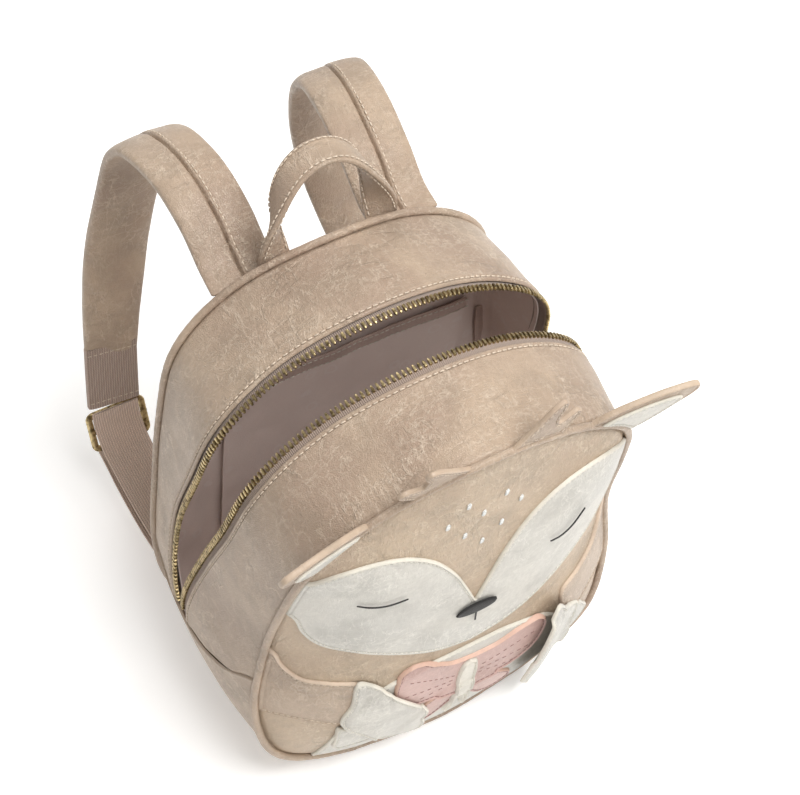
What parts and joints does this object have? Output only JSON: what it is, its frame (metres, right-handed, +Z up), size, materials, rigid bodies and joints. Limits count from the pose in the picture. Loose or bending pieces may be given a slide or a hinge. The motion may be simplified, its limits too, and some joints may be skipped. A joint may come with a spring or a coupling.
{
  "type": "toddler animal backpack",
  "caption": "Small soft backpack with a sleeping fawn sewn on its front, a wide zip opening over the top, padded shoulder straps and a top handle.",
  "frame": {"origin": "on the floor, under the middle of the base", "axes": "+X to the right seen from the front, the fawn looks along -Y and the straps are at +Y, +Z up"},
  "size_m": [0.2493, 0.304, 0.335],
  "materials": {
    "leather": "semi-gloss taupe imitation leather with a pale crackle",
    "cream_leather": "semi-gloss off-white imitation leather",
    "pink_leather": "semi-gloss dusty pink imitation leather",
    "satin_thread": "dark embroidery thread",
    "lining_fabric": "matt mauve-brown woven lining",
    "ribbed_webbing": "matt mauve-brown ribbed webbing and tape",
    "antique_brass": "dull antique brass"
  },
  "bodies": {
    "root": {"front_panel": "leather", "back_panel": "leather", "front_piping": "leather", "back_piping": "leather", "front_gusset": "leather", "back_gusset": "leather", "boot": "leather", "arm_left": "leather", "arm_right": "leather", "ear_left": "leather", "ear_right": "leather", "antler_left": "leather", "antler_right": "leather", "top_handle": "leather", "strap_left": "leather", "strap_right": "leather", "cheek_mask": "cream_leather", "belly": "cream_leather", "bow_knot": "cream_leather", "hoof_left": "cream_leather", "hoof_right": "cream_leather", "hoof_left_lower": "cream_leather", "hoof_right_lower": "cream_leather", "ear_liner_left": "cream_leather", "ear_liner_right": "cream_leather", "bow_tails": "pink_leather", "bow_loops": "pink_leather", "nose": "satin_thread", "lining_front": "lining_fabric", "lining_back": "lining_fabric", "inner_pocket": "lining_fabric", "zip_tape_front": "ribbed_webbing", "zip_tape_back": "ribbed_webbing", "strap_sleeve_left": "ribbed_webbing", "strap_sleeve_right": "ribbed_webbing", "webbing_left": "ribbed_webbing", "webbing_right": "ribbed_webbing", "webbing_return_left": "ribbed_webbing", "webbing_return_right": "ribbed_webbing", "zip_teeth_front": "antique_brass", "zip_teeth_back": "antique_brass", "zip_slider": "antique_brass", "buckle_left": "antique_brass", "buckle_right": "antique_brass"}
  },
  "joints": []
}
